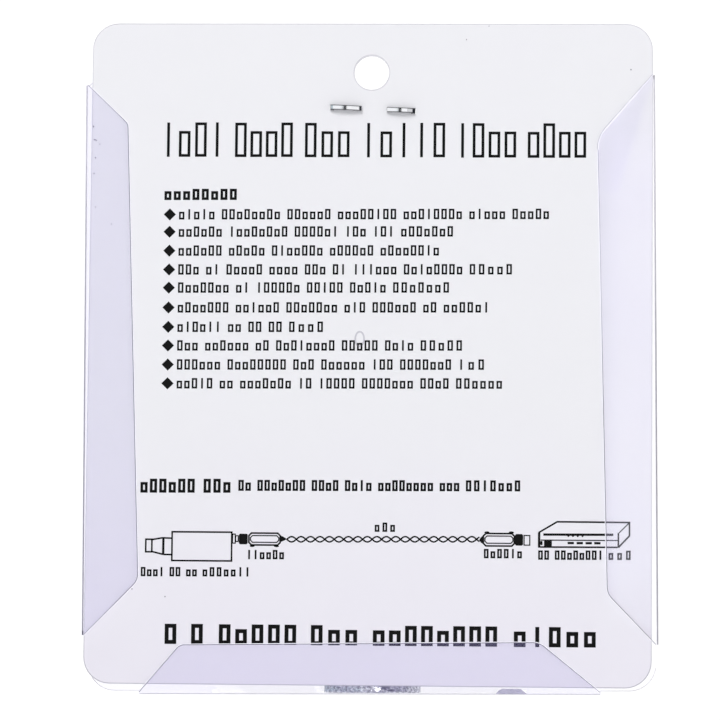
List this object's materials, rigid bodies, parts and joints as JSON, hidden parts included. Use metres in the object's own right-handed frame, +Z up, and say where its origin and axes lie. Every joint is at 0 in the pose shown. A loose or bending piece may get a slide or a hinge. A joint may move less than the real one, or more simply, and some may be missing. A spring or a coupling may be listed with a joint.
{
  "type": "blister card pack",
  "caption": "Retail blister card pack: white backing card with a hang hole, stapled into a clear folded blister whose bubble holds a video balun.",
  "frame": {"origin": "centre of the hang hole on the back face of the card", "axes": "+Z up the card, +X to the right as the card's back is seen, +Y out of the front of the pack where the bubble stands"},
  "size_m": [0.087, 0.0175, 0.1016],
  "materials": {
    "coated_card": "satin",
    "clear_film": "gloss",
    "steel": "satin",
    "nickel": "polished",
    "brass": "satin",
    "seal_rubber": "matte",
    "white_insulator": "matte",
    "gold_plate": "polished",
    "black_housing": "satin",
    "board_green": "gloss",
    "ferrite": "matte",
    "copper_wire": "gloss",
    "dark_epoxy": "satin",
    "terminal_green": "satin"
  },
  "bodies": {
    "pack": {"backing_card": "coated_card", "blister": "clear_film", "staple": "steel", "plug_body": "nickel", "plug_nut": "nickel", "sleeve_retainer": "brass", "plug_gasket": "seal_rubber", "spring_washer": "steel", "plug_insulator": "white_insulator", "centre_pin": "gold_plate", "housing_front": "black_housing", "housing_back": "black_housing", "housing_screws": "steel", "circuit_board": "board_green", "toroid_core": "ferrite", "toroid_winding": "copper_wire", "suppressor": "dark_epoxy", "terminal_block": "terminal_green", "terminal_clamps": "brass", "terminal_screws": "steel", "terminal_pins": "brass"},
    "sleeve": {"coupling_sleeve": "nickel"}
  },
  "joints": [
    {"name": "sleeve_turn", "type": "hinge", "parent": "pack", "child": "sleeve", "pos_m": [0.00059, 0.008, -0.09353], "axis": [-0.0079, 0, 1], "continuous": true}
  ]
}
